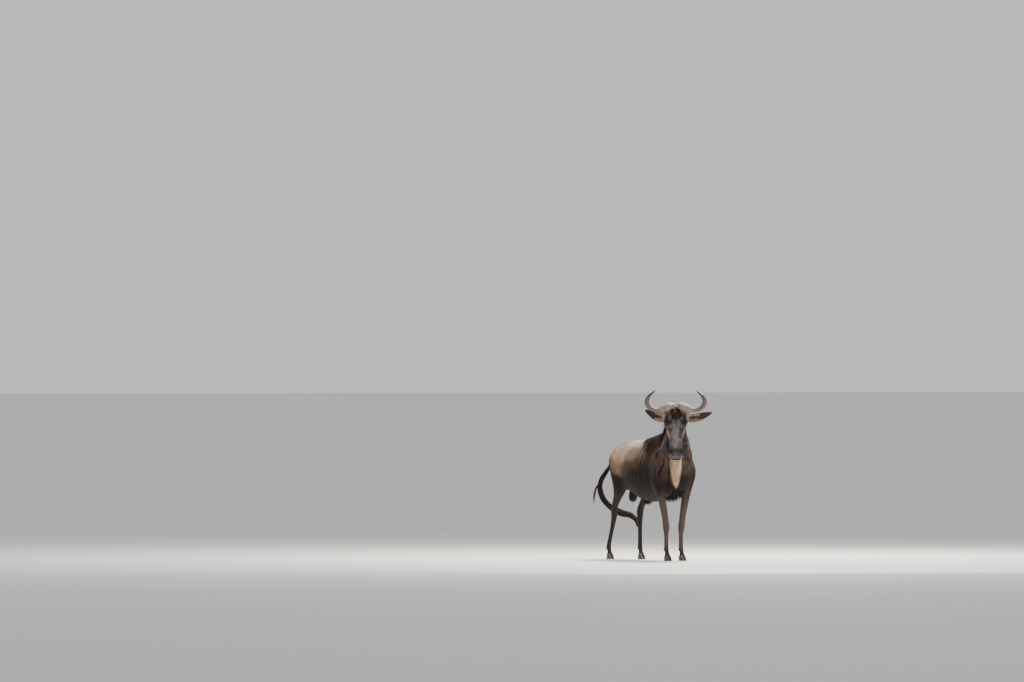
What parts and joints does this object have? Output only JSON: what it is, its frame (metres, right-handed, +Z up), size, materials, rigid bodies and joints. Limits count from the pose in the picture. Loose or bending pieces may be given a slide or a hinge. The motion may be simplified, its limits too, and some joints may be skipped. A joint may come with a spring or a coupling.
{
  "type": "wildebeest",
  "caption": "Still, life-size blue wildebeest bull that stands on its own feet, head raised and turned to its right, tail swung behind the hocks.",
  "frame": {"origin": "on the ground, under the middle of the box that holds the whole animal", "axes": "+Z up, -Y the way the body faces, +X the animal's left"},
  "size_m": [0.612, 1.6516, 1.6529],
  "materials": {
    "coat": "short sleek grey-brown hair, pale on the back, near black below",
    "face": "very short grey-black hair",
    "black_hair": "long coarse black hair in locks",
    "beard_hair": "long cream hair in locks",
    "horn": "ridged grey horn, darker and smoother to the tips",
    "hoof": "dull dark hoof horn",
    "eye": "wet and glossy"
  },
  "bodies": {
    "root": {"trunk": "coat", "neck": "coat", "head": "face", "lower_jaw": "face", "ear_right": "coat", "ear_left": "coat", "eye_right": "eye", "eye_left": "eye", "horn_right": "horn", "horn_left": "horn", "forelock": "black_hair", "mane": "black_hair", "beard": "beard_hair", "foreleg_right": "coat", "foreleg_left": "coat", "hindleg_right": "coat", "hindleg_left": "coat", "forehoof_right_outer": "hoof", "forehoof_right_inner": "hoof", "forehoof_left_outer": "hoof", "forehoof_left_inner": "hoof", "hindhoof_right_outer": "hoof", "hindhoof_right_inner": "hoof", "hindhoof_left_outer": "hoof", "hindhoof_left_inner": "hoof", "tail_dock": "coat", "tail_switch_upper": "black_hair", "tail_switch_lower": "black_hair", "scrotum": "coat", "sheath": "black_hair"}
  },
  "joints": []
}
